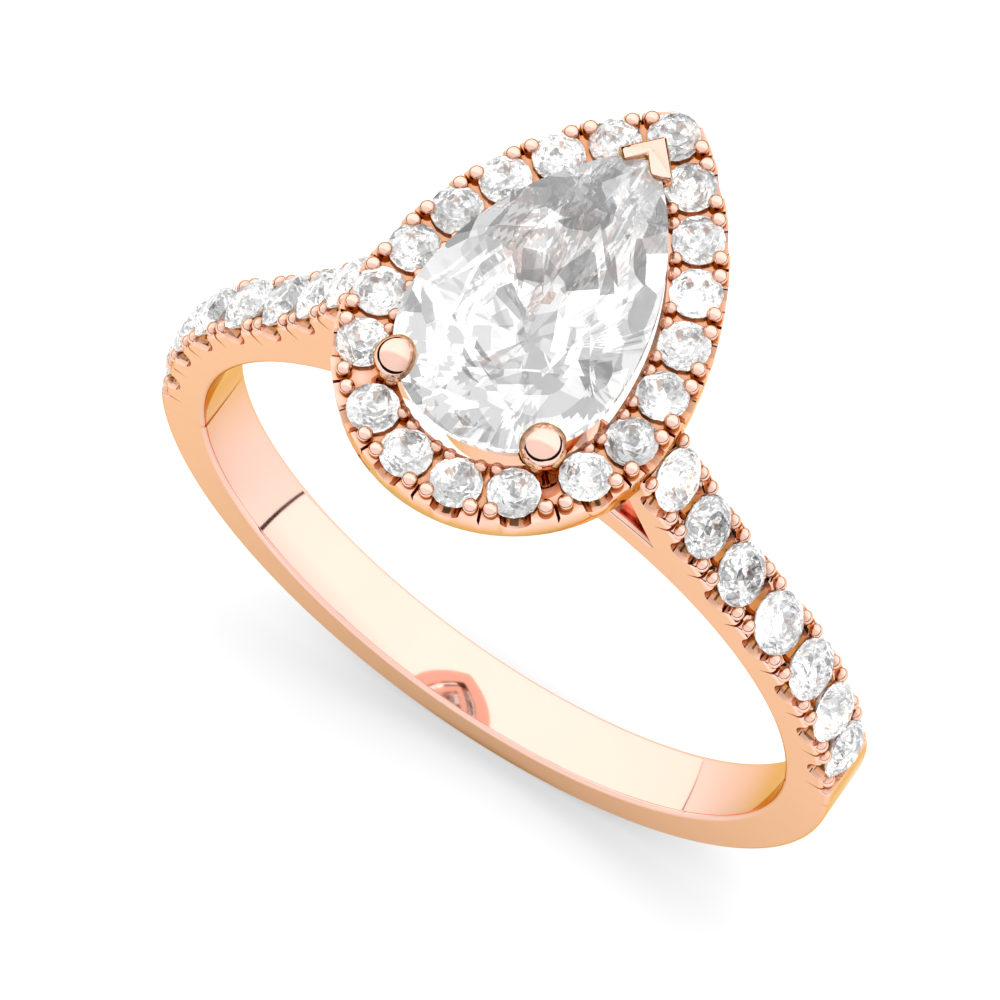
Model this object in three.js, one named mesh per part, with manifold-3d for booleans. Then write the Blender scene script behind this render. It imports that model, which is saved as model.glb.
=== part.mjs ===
// Engagement ring: a pear-cut centre stone in a basket, a halo of round stones, and two cathedral
// shoulders set with round stones on a plain shank.
// Millimetres. The finger hole runs along Y with its centre at the origin, the head stands up along +Z,
// and the sharp tip of the pear points towards +Y.
import * as THREE from 'three';
import { ConvexGeometry } from 'three/addons/geometries/ConvexGeometry.js';
import { mergeVertices } from 'three/addons/utils/BufferGeometryUtils.js';
import Module from 'manifold-3d';

const wasm = await Module();
wasm.setup();

// ---------------------------------------------------------------- driving dimensions

// Shank
const FINGER_DIAMETER = 16.9;
const BAND_WIDTH = 1.8;
const BOTTOM_THICKNESS = 1.2;
const SIDE_THICKNESS = 1.3;
const BAND_EDGE = 0.13;
const BRIDGE_THICKNESS = 0.95;

// Cathedral shoulders: the outer face follows the band up to the rise, then sweeps up on a hollow arc
// to a point under the halo. Angles are in degrees, measured at the finger's centre from the +X side.
const PARTING_BELOW_STONE = 0.961;
const RISE_ANGLE = 39;
const SHOULDER_UNDER_HALO = 0.235;
const WINDOW_ANGLE = 61;
const SHOULDER_ARM = 1.087;

// Shoulder stones, counted from the head down
const SHOULDER_STONES = 7;
const SHOULDER_STONE_DIAMETER = 1.6;
const SHOULDER_STONE_GAP = 0.2;
const SHOULDER_ROW_START = 0.237;
const SHOULDER_STONE_SINK = 0.14;
const SHOULDER_NOTCH_WIDTH = 0.3;
const SHOULDER_NOTCH_DEPTH = 0.67;
const SHOULDER_SCALLOP_RADIUS = 0.45;

// Centre stone: a half circle closed by two long side arcs that meet at the tip
const CENTRE_WIDTH = 5.64;
const CENTRE_TIP = 5.95;
const CENTRE_CROWN = 0.8;
const CENTRE_GIRDLE = 0.2;
const CENTRE_PAVILION = 2.4;
const CENTRE_CULET_SHIFT = 0.6;
const CULET_CLEARANCE = 0.7;

// Halo
const HALO_DROP = 0.65;
const HALO_WALL_BELOW = 0.95;
const HALO_BEAD_HEIGHT = 0.18;
const HALO_CENTRE_GAP = 0.085;
const HALO_STONE_DIAMETER = 1.29;
const HALO_STONE_GAP = 0.05;
const HALO_STONES_PER_SIDE = 9;
const HALO_STONES_TIP_TO_CLAW = 7;
const CLAW_GAP_EXTRA = 0.36;
const HALO_OUTER_RIM = 0.11;
const HALO_HOLE_INSET = 0.025;
const HALO_TAPER = 0.08;
const HALO_NOTCH_WIDTH = 0.2;
const HALO_NOTCH_DEPTH = 0.55;
const HALO_SCALLOP_RADIUS = 0.36;

// Brilliant proportions: heights are shares of the diameter, the rest shares of the outline
const CROWN_SHARE = 0.155;
const GIRDLE_SHARE = 0.03;
const PAVILION_SHARE = 0.43;
const TABLE_SHARE = 0.56;
const STAR_SHARE = 0.76;
const LOWER_HALF_SHARE = 0.22;
const MAIN_FACETS = 8;

// Basket
const GALLERY_INSET = 1.0;
const GALLERY_WALL = 0.55;
const GALLERY_HEIGHT = 0.75;
const CLAW_POST_RADIUS = 0.3;
const CLAW_HEAD_RADIUS = 0.53;
const CLAW_HEAD_HEIGHT = 0.55;
const CLAW_FOOT_RISE = 0.35;
const TIP_CLAW_ARM = 1.1;
const TIP_CLAW_WIDTH = 0.45;
const TIP_CLAW_HALF_ANGLE = 41;
const TIP_CLAW_RISE = 0.25;
const TIP_CLAW_OUTSIDE = 0.55;

// Clearances
const JOINT_GAP = 0.03;
const SEAT_GAP = 0.02;

// ---------------------------------------------------------------- derived sizes

const RAD = Math.PI / 180;
const boreRadius = FINGER_DIAMETER / 2;
const sideRadius = boreRadius + SIDE_THICKNESS;
const bottomRadius = boreRadius + BOTTOM_THICKNESS;
const bridgeRadius = boreRadius + BRIDGE_THICKNESS;
const jointTurn = JOINT_GAP / 2 / boreRadius;

// The lower outer arc's centre is above the finger's, so the shank thins towards the bottom.
const lowerArcRise = (sideRadius ** 2 - bottomRadius ** 2) / (2 * bottomRadius);
const lowerArcRadius = bottomRadius + lowerArcRise;

const centreHalfWidth = CENTRE_WIDTH / 2;
const sideArcShift = (CENTRE_TIP ** 2 - centreHalfWidth ** 2) / (2 * centreHalfWidth);

// The centre stone's culet stands clear of the bridge, and the halo sits lower than its girdle.
const centreGirdleHeight = bridgeRadius + CULET_CLEARANCE + CENTRE_PAVILION;
const centreGirdleTop = centreGirdleHeight + CENTRE_GIRDLE;
const haloGirdleHeight = centreGirdleHeight - HALO_DROP;

const haloRowOffset = findHaloRowOffset();
const haloOuterOffset = haloRowOffset + HALO_STONE_DIAMETER / 2 + HALO_OUTER_RIM;
const haloInnerOffset = -HALO_HOLE_INSET;
const haloBottom = haloGirdleHeight - HALO_WALL_BELOW;
const haloTop = haloGirdleHeight + HALO_BEAD_HEIGHT;
const haloStoneTop = haloGirdleHeight + (CROWN_SHARE + GIRDLE_SHARE) * HALO_STONE_DIAMETER;
const haloPitch = (pearHalfLength(haloRowOffset) - CLAW_GAP_EXTRA) / (HALO_STONES_PER_SIDE + 0.5);
const clawDistance = haloPitch * (HALO_STONES_TIP_TO_CLAW + 0.5) + CLAW_GAP_EXTRA / 2;

// The shoulders' stones run down from the halo's wall, and the shank starts under the last of them.
const shoulderTopX = centreHalfWidth + haloOuterOffset - SHOULDER_UNDER_HALO;
const sweepRadius = hollowArcRadius();
const shoulderPitch = SHOULDER_STONE_DIAMETER + SHOULDER_STONE_GAP;
const firstStoneArc = haloWallArc() - SHOULDER_ROW_START - SHOULDER_STONE_DIAMETER / 2;
const lastStoneArc = firstStoneArc - (SHOULDER_STONES - 1) * shoulderPitch;
const partingTurn = (lastStoneArc - SHOULDER_STONE_DIAMETER / 2 - PARTING_BELOW_STONE) / sideRadius;

const galleryMiddleInset = GALLERY_INSET + GALLERY_WALL / 2;
const galleryTop = bridgeRadius + JOINT_GAP + GALLERY_HEIGHT;
const clawFoot = bridgeRadius + CLAW_FOOT_RISE;

// ---------------------------------------------------------------- solids

/** Closed solid of a geometry; a lathe's flat slivers at its axis are left out. */
function toSolid(geometry) {
  const bare = geometry.clone();
  bare.deleteAttribute('normal');
  bare.deleteAttribute('uv');
  const merged = mergeVertices(bare, 1e-5);
  const corners = merged.index.array;
  const triangles = [];
  for (let i = 0; i < corners.length; i += 3) {
    const [a, b, c] = corners.slice(i, i + 3);
    if (a !== b && b !== c && c !== a) triangles.push(a, b, c);
  }
  return new wasm.Manifold(new wasm.Mesh({
    numProp: 3,
    vertProperties: new Float32Array(merged.attributes.position.array),
    triVerts: new Uint32Array(triangles),
  }));
}

function toGeometry(solid) {
  const mesh = solid.getMesh();
  const geometry = new THREE.BufferGeometry();
  geometry.setAttribute('position', new THREE.BufferAttribute(mesh.vertProperties, 3));
  geometry.setIndex(new THREE.BufferAttribute(mesh.triVerts, 1));
  geometry.computeVertexNormals();
  return geometry;
}

function cutAll(solid, geometries) {
  return geometries.reduce((rest, geometry) => rest.subtract(toSolid(geometry)), solid);
}

// ---------------------------------------------------------------- the pear outline

/** Radii of the pear outline moved outwards by offset: blunt end, side arcs, and the tip's turn. */
function pearRadii(offset) {
  const blunt = centreHalfWidth + offset;
  const side = blunt + sideArcShift;
  return { blunt, side, tipTurn: Math.acos(sideArcShift / side) };
}

function tracePear(path, offset) {
  const { blunt, side, tipTurn } = pearRadii(offset);
  path.absarc(sideArcShift, 0, side, Math.PI - tipTurn, Math.PI, false);
  path.absarc(0, 0, blunt, Math.PI, 2 * Math.PI, false);
  path.absarc(-sideArcShift, 0, side, 0, tipTurn, false);
  return path;
}

function pearHalfLength(offset) {
  const { blunt, side, tipTurn } = pearRadii(offset);
  return side * tipTurn + (blunt * Math.PI) / 2;
}

/** Place on the outline's +X side at a distance from the tip; outward is the direction out of it. */
function pearPlace(offset, distance) {
  const { blunt, side, tipTurn } = pearRadii(offset);
  const past = distance - side * tipTurn;
  if (past <= 0) {
    const outward = -past / side;
    return { x: side * Math.cos(outward) - sideArcShift, y: side * Math.sin(outward), outward };
  }
  const outward = -past / blunt;
  return { x: blunt * Math.cos(outward), y: blunt * Math.sin(outward), outward };
}

/** How far the halo's stones stand out from the centre stone: beside it, or where the row has room. */
function findHaloRowOffset() {
  const rowLength = (HALO_STONES_PER_SIDE + 0.5) * (HALO_STONE_DIAMETER + HALO_STONE_GAP);
  let offset = HALO_CENTRE_GAP + HALO_STONE_DIAMETER / 2;
  while (pearHalfLength(offset) < rowLength + CLAW_GAP_EXTRA) offset += 0.01;
  return offset;
}

function mirrored(place) {
  return { x: -place.x, y: place.y, outward: Math.PI - place.outward };
}

/** A prism of the pear outline, from one height to another, with an optional pear hole. */
function pearPrism(offset, bottom, top, holeOffset = null) {
  const shape = tracePear(new THREE.Shape(), offset);
  if (holeOffset !== null) shape.holes.push(tracePear(new THREE.Path(), holeOffset));
  const geometry = new THREE.ExtrudeGeometry(shape, {
    depth: top - bottom,
    bevelEnabled: false,
    curveSegments: 14,
  });
  return geometry.translate(0, 0, bottom);
}

// ---------------------------------------------------------------- stones

/** A brilliant over any outline: outlineAt(turn, share) is the plan point at a share of the outline. */
function brilliant(outlineAt, crown, girdle, pavilion, girdleSteps) {
  const half = Math.cos(Math.PI / MAIN_FACETS);
  const starHeight = girdle + (crown * (1 - STAR_SHARE * half)) / (1 - TABLE_SHARE);
  const lowerHeight = -pavilion * (1 - LOWER_HALF_SHARE * half);
  const points = [outlineAt(0, 0).setZ(-pavilion)];
  for (let i = 0; i < MAIN_FACETS; i++) {
    const main = i / MAIN_FACETS;
    const between = (i + 0.5) / MAIN_FACETS;
    points.push(outlineAt(main, TABLE_SHARE).setZ(girdle + crown));
    points.push(outlineAt(between, STAR_SHARE).setZ(starHeight));
    points.push(outlineAt(between, LOWER_HALF_SHARE).setZ(lowerHeight));
  }
  for (let i = 0; i < girdleSteps; i++) {
    points.push(outlineAt(i / girdleSteps, 1).setZ(girdle));
    points.push(outlineAt(i / girdleSteps, 1).setZ(0));
  }
  return new ConvexGeometry(points);
}

/** Round brilliant with its girdle's lower edge at z = 0. */
function roundStone(diameter) {
  const circleAt = (turn, share) => {
    const angle = 2 * Math.PI * turn;
    const radius = (diameter / 2) * share;
    return new THREE.Vector3(radius * Math.cos(angle), radius * Math.sin(angle), 0);
  };
  return brilliant(circleAt, CROWN_SHARE * diameter, GIRDLE_SHARE * diameter,
    PAVILION_SHARE * diameter, 2 * MAIN_FACETS);
}

/** The pear brilliant at its own height; gap grows it all round, for cutting what holds it. */
function pearStone(gap) {
  const length = 2 * pearHalfLength(gap);
  const pearAt = (turn, share) => {
    const rightSide = turn <= 0.5;
    const place = pearPlace(gap, length * (rightSide ? turn : 1 - turn));
    const x = rightSide ? place.x : -place.x;
    return new THREE.Vector3(x * share, CENTRE_CULET_SHIFT + (place.y - CENTRE_CULET_SHIFT) * share, 0);
  };
  const geometry = brilliant(pearAt, CENTRE_CROWN, CENTRE_GIRDLE + 2 * gap, CENTRE_PAVILION,
    8 * MAIN_FACETS);
  return geometry.translate(0, 0, centreGirdleHeight - gap);
}

/** Cutter for a round stone's seat: a cone under the girdle, then a straight bore of some height. */
function seatCutter(diameter, height) {
  const radius = diameter / 2 + SEAT_GAP;
  const profile = [
    new THREE.Vector2(0, -diameter * PAVILION_SHARE - 2 * SEAT_GAP),
    new THREE.Vector2(radius, -2 * SEAT_GAP),
    new THREE.Vector2(radius, height),
    new THREE.Vector2(0, height),
  ];
  return new THREE.LatheGeometry(profile, 2 * MAIN_FACETS).rotateX(Math.PI / 2);
}

/** Cutter for the notch between two prongs: a wedge along Y, tip at -depth, mouth above z = 0. */
function notchCutter(width, depth, length) {
  const mouth = width / 2;
  const shape = new THREE.Shape();
  shape.moveTo(0, -depth);
  shape.lineTo(2 * mouth, depth);
  shape.lineTo(-2 * mouth, depth);
  const geometry = new THREE.ExtrudeGeometry(shape, { depth: length, bevelEnabled: false });
  return geometry.translate(0, 0, -length / 2).rotateX(Math.PI / 2);
}

// ---------------------------------------------------------------- shank and shoulders

/** Extrudes an outline drawn in XZ across the band's width, with its long edges broken. */
function bandGeometry(shape, curveSegments) {
  const geometry = new THREE.ExtrudeGeometry(shape, {
    depth: BAND_WIDTH - 2 * BAND_EDGE,
    bevelThickness: BAND_EDGE,
    bevelSize: BAND_EDGE,
    bevelOffset: -BAND_EDGE,
    bevelSegments: 1,
    curveSegments,
  });
  return geometry.rotateX(Math.PI / 2).translate(0, BAND_WIDTH / 2 - BAND_EDGE, 0);
}

function shankLower() {
  const start = partingTurn - jointTurn;
  const outerStart = Math.asin((sideRadius * Math.sin(start) - lowerArcRise) / lowerArcRadius);
  const shape = new THREE.Shape();
  shape.absarc(0, lowerArcRise, lowerArcRadius, outerStart, -Math.PI - outerStart, true);
  shape.absarc(0, 0, boreRadius, -Math.PI - start, start, false);
  return bandGeometry(shape, 24);
}

function bridgeRail() {
  const start = WINDOW_ANGLE * RAD + jointTurn;
  const shape = new THREE.Shape();
  shape.absarc(0, 0, bridgeRadius, start, Math.PI - start, false);
  shape.absarc(0, 0, boreRadius, Math.PI - start, start, true);
  return bandGeometry(shape, 8);
}

/** Radius of the hollow arc that leaves the band's side at the rise and ends under the halo's top. */
function hollowArcRadius() {
  const rise = RISE_ANGLE * RAD;
  const stepX = shoulderTopX - sideRadius * Math.cos(rise);
  const stepZ = haloTop - sideRadius * Math.sin(rise);
  const outwards = stepX * Math.cos(rise) + stepZ * Math.sin(rise);
  return (stepX ** 2 + stepZ ** 2) / (2 * outwards);
}

/** Distance along the shoulder's outer face, up from the X axis, at which it meets the halo's wall. */
function haloWallArc() {
  const rise = RISE_ANGLE * RAD;
  const turn = Math.acos((sweepCentre().x - centreHalfWidth - haloOuterOffset) / sweepRadius);
  return rise * sideRadius + (rise - turn) * sweepRadius;
}

/** Centre of the hollow arc that the right shoulder's outer face follows above the rise. */
function sweepCentre() {
  const distance = sideRadius + sweepRadius;
  const rise = RISE_ANGLE * RAD;
  return { x: distance * Math.cos(rise), z: distance * Math.sin(rise) };
}

/** Outline of the right shoulder in XZ: finger side, bridge joint, window edge, then the outer face. */
function shoulderShape() {
  const start = partingTurn + jointTurn;
  const end = WINDOW_ANGLE * RAD - jointTurn;
  const rise = RISE_ANGLE * RAD;
  const cornerX = bridgeRadius * Math.cos(end);
  const cornerZ = bridgeRadius * Math.sin(end);
  const sweep = sweepCentre();
  const topTurn = Math.asin((sweep.z - haloTop) / sweepRadius);
  const shape = new THREE.Shape();
  shape.absarc(0, 0, boreRadius, start, end, false);
  shape.lineTo(cornerX, cornerZ);
  shape.lineTo(shoulderTopX - SHOULDER_ARM, haloTop);
  shape.absarc(sweep.x, sweep.z, sweepRadius, Math.PI + topTurn, Math.PI + rise, false);
  shape.absarc(0, 0, sideRadius, rise, start, true);
  return shape;
}

/** Place on the right shoulder at a depth under its outer face and a distance up from the X axis. */
function shoulderPlace(depth, distance) {
  const rise = RISE_ANGLE * RAD;
  const past = distance - rise * sideRadius;
  if (past <= 0) {
    const turn = distance / sideRadius;
    const radius = sideRadius - depth;
    return { x: radius * Math.cos(turn), z: radius * Math.sin(turn), lean: Math.PI / 2 - turn };
  }
  const sweep = sweepCentre();
  const turn = rise - past / sweepRadius;
  const radius = sweepRadius + depth;
  return {
    x: sweep.x - radius * Math.cos(turn),
    z: sweep.z - radius * Math.sin(turn),
    lean: Math.PI / 2 - turn,
  };
}

function shoulderStonePlace(number) {
  const below = SHOULDER_STONES - number;
  return shoulderPlace(SHOULDER_STONE_SINK, lastStoneArc + below * shoulderPitch);
}

/** Stands a geometry on the right shoulder, its own +Z pointing out of the shoulder's face. */
function standOn(place, geometry) {
  return geometry.rotateY(place.lean).translate(place.x, 0, place.z);
}

/** The halo's outer body, leaning out towards its top; grown by gap when the shoulders are cut by it. */
function haloBody(gap) {
  const height = haloTop - haloBottom;
  const geometry = new THREE.ExtrudeGeometry(tracePear(new THREE.Shape(), haloOuterOffset + gap), {
    depth: height,
    bevelThickness: height + gap,
    bevelSize: HALO_TAPER,
    bevelOffset: -HALO_TAPER,
    bevelSegments: 1,
    curveSegments: 14,
  });
  return geometry.translate(0, 0, haloTop);
}

/** The right shoulder is turned half round for the left one; the halo's body trims both. */
function shoulder(halfTurn) {
  const cutters = [];
  for (let number = 1; number <= SHOULDER_STONES; number++) {
    const place = shoulderStonePlace(number);
    const scallop = new THREE.CylinderGeometry(
      SHOULDER_SCALLOP_RADIUS, SHOULDER_SCALLOP_RADIUS, 2 * BAND_WIDTH, 12);
    cutters.push(standOn(place, seatCutter(SHOULDER_STONE_DIAMETER, SHOULDER_STONE_DIAMETER)));
    cutters.push(standOn(place, scallop));
  }
  for (let gap = 0; gap < SHOULDER_STONES; gap++) {
    const distance = lastStoneArc + (gap - 0.5) * shoulderPitch;
    const notch = notchCutter(SHOULDER_NOTCH_WIDTH, SHOULDER_NOTCH_DEPTH, 2 * BAND_WIDTH);
    cutters.push(standOn(shoulderPlace(0, distance), notch));
  }
  const bar = toSolid(bandGeometry(shoulderShape(), 10).rotateZ(halfTurn));
  const turned = cutters.map((cutter) => cutter.rotateZ(halfTurn));
  return toGeometry(cutAll(bar, [haloBody(JOINT_GAP), ...turned]));
}

// ---------------------------------------------------------------- basket

/** Foot and head of a claw's post: places on the gallery's middle and on the centre stone's edge. */
function clawPost(side) {
  const outward = pearPlace(haloRowOffset, clawDistance).outward;
  const foot = centreHalfWidth - galleryMiddleInset;
  const direction = new THREE.Vector3(side * Math.cos(outward), Math.sin(outward), 0);
  return {
    foot: direction.clone().multiplyScalar(foot).setZ(clawFoot),
    head: direction.clone().multiplyScalar(centreHalfWidth).setZ(centreGirdleTop),
  };
}

function tipPost() {
  const { side, tipTurn } = pearRadii(-galleryMiddleInset);
  return {
    foot: new THREE.Vector3(0, side * Math.sin(tipTurn), clawFoot),
    head: new THREE.Vector3(0, CENTRE_TIP, centreGirdleTop),
  };
}

/** Stands a lathe or cylinder made along +Y so that it runs from the post's foot towards its head. */
function alongPost(post, geometry) {
  const direction = post.head.clone().sub(post.foot).normalize();
  const turn = new THREE.Quaternion().setFromUnitVectors(new THREE.Vector3(0, 1, 0), direction);
  return geometry.applyQuaternion(turn).translate(post.foot.x, post.foot.y, post.foot.z);
}

/** Round post with an egg-shaped head, grown all round by gap when it is used as a cutter. */
function clawGeometry(post, gap) {
  const length = post.head.distanceTo(post.foot);
  const postRadius = CLAW_POST_RADIUS + gap;
  const headRadius = CLAW_HEAD_RADIUS + gap;
  const headHeight = CLAW_HEAD_HEIGHT + gap;
  const profile = [
    new THREE.Vector2(0, -gap),
    new THREE.Vector2(postRadius, -gap),
    new THREE.Vector2(postRadius, length - headHeight - CLAW_HEAD_RADIUS),
    new THREE.Vector2(headRadius * 0.93, length - headHeight * 0.6),
  ];
  const domeSteps = 4;
  for (let i = 0; i < domeSteps; i++) {
    const turn = ((i / domeSteps) * Math.PI) / 2;
    profile.push(new THREE.Vector2(headRadius * Math.cos(turn), length + headHeight * Math.sin(turn)));
  }
  profile.push(new THREE.Vector2(0, length + headHeight));
  return alongPost(post, new THREE.LatheGeometry(profile, 16));
}

function claw(side) {
  const solid = toSolid(clawGeometry(clawPost(side), 0));
  return toGeometry(cutAll(solid, [pearStone(SEAT_GAP)]));
}

function tipPostGeometry(gap) {
  const post = tipPost();
  const radius = CLAW_POST_RADIUS + gap;
  const length = post.head.distanceTo(post.foot) + gap;
  const rod = new THREE.CylinderGeometry(radius, radius, length, 12);
  return alongPost(post, rod.translate(0, length / 2 - gap, 0));
}

/** V-shaped claw over the tip: two flat arms in plan that meet over a round post. */
function tipClaw() {
  const half = TIP_CLAW_HALF_ANGLE * RAD;
  const corner = CENTRE_TIP + TIP_CLAW_OUTSIDE;
  const armX = TIP_CLAW_ARM * Math.sin(half);
  const armY = corner - TIP_CLAW_ARM * Math.cos(half);
  const endX = armX - TIP_CLAW_WIDTH * Math.cos(half);
  const endY = armY - TIP_CLAW_WIDTH * Math.sin(half);
  const shape = new THREE.Shape();
  shape.moveTo(0, corner);
  shape.lineTo(armX, armY);
  shape.lineTo(endX, endY);
  shape.lineTo(0, corner - TIP_CLAW_WIDTH / Math.sin(half));
  shape.lineTo(-endX, endY);
  shape.lineTo(-armX, armY);
  const bottom = haloStoneTop + JOINT_GAP;
  const top = centreGirdleTop + TIP_CLAW_RISE;
  const arms = new THREE.ExtrudeGeometry(shape, { depth: top - bottom, bevelEnabled: false });
  const solid = toSolid(arms.translate(0, 0, bottom)).add(toSolid(tipPostGeometry(0)));
  return toGeometry(cutAll(solid, [pearStone(SEAT_GAP)]));
}

function postCutters() {
  return [clawGeometry(clawPost(1), JOINT_GAP), clawGeometry(clawPost(-1), JOINT_GAP),
    tipPostGeometry(JOINT_GAP)];
}

/** Pear-shaped rail under the centre stone, its underside shaped to sit on the bridge. */
function galleryRail() {
  const rail = toSolid(pearPrism(-GALLERY_INSET, boreRadius, galleryTop, -GALLERY_INSET - GALLERY_WALL));
  const bridge = new THREE.CylinderGeometry(
    bridgeRadius + JOINT_GAP, bridgeRadius + JOINT_GAP, 4 * CENTRE_TIP, 96);
  return toGeometry(cutAll(rail, [bridge, ...postCutters()]));
}

// ---------------------------------------------------------------- halo

/** Places of the halo's stones, from the one at the tip and round by the +X side. */
function haloStonePlaces() {
  const places = [];
  for (let i = 1; i <= HALO_STONES_PER_SIDE; i++) {
    const pastClaw = i > HALO_STONES_TIP_TO_CLAW ? CLAW_GAP_EXTRA : 0;
    places.push(pearPlace(haloRowOffset, i * haloPitch + pastClaw));
  }
  const { side, tipTurn } = pearRadii(haloRowOffset);
  const tip = { x: 0, y: side * Math.sin(tipTurn), outward: Math.PI / 2 };
  return [tip, ...places, ...places.map(mirrored).reverse()];
}

/** Places of the notches: one between each two neighbouring stones. */
function haloNotchPlaces() {
  const places = [];
  for (let i = 0; i < HALO_STONES_PER_SIDE; i++) {
    const inClaw = i === HALO_STONES_TIP_TO_CLAW ? CLAW_GAP_EXTRA / 2 : 0;
    const pastClaw = i > HALO_STONES_TIP_TO_CLAW ? CLAW_GAP_EXTRA : 0;
    places.push(pearPlace(haloRowOffset, (i + 0.5) * haloPitch + inClaw + pastClaw));
  }
  const bottom = pearPlace(haloRowOffset, pearHalfLength(haloRowOffset));
  return [...places, bottom, ...places.map(mirrored)];
}

/** Puts a geometry whose own +Y is to point outwards at a place on the halo. */
function putOnHalo(place, height, geometry) {
  return geometry.rotateZ(place.outward - Math.PI / 2).translate(place.x, place.y, height);
}

function haloRim() {
  const cutters = postCutters();
  const reach = HALO_STONE_DIAMETER;
  for (const place of haloStonePlaces()) {
    const scallop = new THREE.CylinderGeometry(HALO_SCALLOP_RADIUS, HALO_SCALLOP_RADIUS, reach, 12);
    cutters.push(putOnHalo(place, haloGirdleHeight, seatCutter(HALO_STONE_DIAMETER, reach)));
    cutters.push(putOnHalo(place, haloGirdleHeight, scallop.translate(0, reach / 2, 0)));
  }
  for (const place of haloNotchPlaces()) {
    const notch = notchCutter(HALO_NOTCH_WIDTH, HALO_NOTCH_DEPTH, 2 * reach);
    cutters.push(putOnHalo(place, haloTop, notch));
  }
  const collar = toSolid(pearPrism(haloOuterOffset, haloBottom, haloTop, haloInnerOffset));
  return toGeometry(cutAll(toSolid(haloBody(0)).intersect(collar), cutters));
}

// ---------------------------------------------------------------- assembly

function goldMaterial() {
  return new THREE.MeshStandardMaterial({ color: '#e0a06a', roughness: 0.18, metalness: 1 });
}

function diamondMaterial() {
  return new THREE.MeshStandardMaterial({ color: '#f2f4f6', roughness: 0.02, metalness: 0 });
}

function named(name, geometry, material) {
  const mesh = new THREE.Mesh(geometry, material);
  mesh.name = name;
  return mesh;
}

function twoDigits(number) {
  return String(number).padStart(2, '0');
}

function shoulderStones(side, halfTurn) {
  const group = new THREE.Group();
  group.rotation.z = halfTurn;
  for (let number = 1; number <= SHOULDER_STONES; number++) {
    const place = shoulderStonePlace(number);
    const name = `shoulder_stone_${side}_${twoDigits(number)}`;
    const stone = named(name, roundStone(SHOULDER_STONE_DIAMETER), diamondMaterial());
    stone.position.set(place.x, 0, place.z);
    stone.rotation.y = place.lean;
    group.add(stone);
  }
  return group;
}

function haloStones() {
  const group = new THREE.Group();
  haloStonePlaces().forEach((place, index) => {
    const name = `halo_stone_${twoDigits(index + 1)}`;
    const stone = named(name, roundStone(HALO_STONE_DIAMETER), diamondMaterial());
    stone.position.set(place.x, place.y, haloGirdleHeight);
    stone.rotation.z = place.outward;
    group.add(stone);
  });
  return group;
}

const ring = new THREE.Group();
ring.add(named('shank_lower', shankLower(), goldMaterial()));
ring.add(named('bridge_rail', bridgeRail(), goldMaterial()));
ring.add(named('shoulder_right', shoulder(0), goldMaterial()));
ring.add(named('shoulder_left', shoulder(Math.PI), goldMaterial()));
ring.add(named('gallery_rail', galleryRail(), goldMaterial()));
ring.add(named('claw_right', claw(1), goldMaterial()));
ring.add(named('claw_left', claw(-1), goldMaterial()));
ring.add(named('tip_claw', tipClaw(), goldMaterial()));
ring.add(named('halo_rim', haloRim(), goldMaterial()));
ring.add(named('centre_stone', pearStone(0), diamondMaterial()));
ring.add(haloStones());
ring.add(shoulderStones('right', 0));
ring.add(shoulderStones('left', Math.PI));

export default ring;
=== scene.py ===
import math
import bpy
from mathutils import Matrix, Quaternion, Vector


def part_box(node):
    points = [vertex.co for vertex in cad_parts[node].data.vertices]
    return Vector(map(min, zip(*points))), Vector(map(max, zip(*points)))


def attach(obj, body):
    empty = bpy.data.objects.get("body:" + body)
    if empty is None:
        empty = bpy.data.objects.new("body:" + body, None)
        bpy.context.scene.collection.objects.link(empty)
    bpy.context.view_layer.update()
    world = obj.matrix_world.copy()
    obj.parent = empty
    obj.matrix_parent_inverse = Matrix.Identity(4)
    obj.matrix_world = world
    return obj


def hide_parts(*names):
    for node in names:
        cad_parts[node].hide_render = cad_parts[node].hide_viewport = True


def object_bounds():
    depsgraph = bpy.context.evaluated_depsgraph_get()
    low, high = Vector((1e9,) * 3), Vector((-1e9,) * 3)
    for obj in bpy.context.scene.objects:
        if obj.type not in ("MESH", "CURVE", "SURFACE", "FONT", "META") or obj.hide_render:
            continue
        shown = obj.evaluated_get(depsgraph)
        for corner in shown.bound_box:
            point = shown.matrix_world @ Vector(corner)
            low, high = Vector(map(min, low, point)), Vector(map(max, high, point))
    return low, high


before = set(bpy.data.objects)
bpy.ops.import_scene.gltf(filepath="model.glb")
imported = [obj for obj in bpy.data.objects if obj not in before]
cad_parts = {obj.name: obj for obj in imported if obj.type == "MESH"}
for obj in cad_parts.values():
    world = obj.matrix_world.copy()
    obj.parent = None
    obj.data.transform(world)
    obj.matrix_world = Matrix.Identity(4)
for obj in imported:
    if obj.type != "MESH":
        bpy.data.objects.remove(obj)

cad_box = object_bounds()

# ---------------------------------------------------------------- sizes, in metres

MM = 0.001
FINGER_RADIUS = 8.45 * MM
SIDE_RADIUS = 9.75 * MM
BRIDGE_RADIUS = 9.4 * MM
BOTTOM_RADIUS = -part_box("shank_lower")[0].z
BAND_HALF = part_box("shank_lower")[1].y
BAND_EDGE = 0.13 * MM

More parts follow.
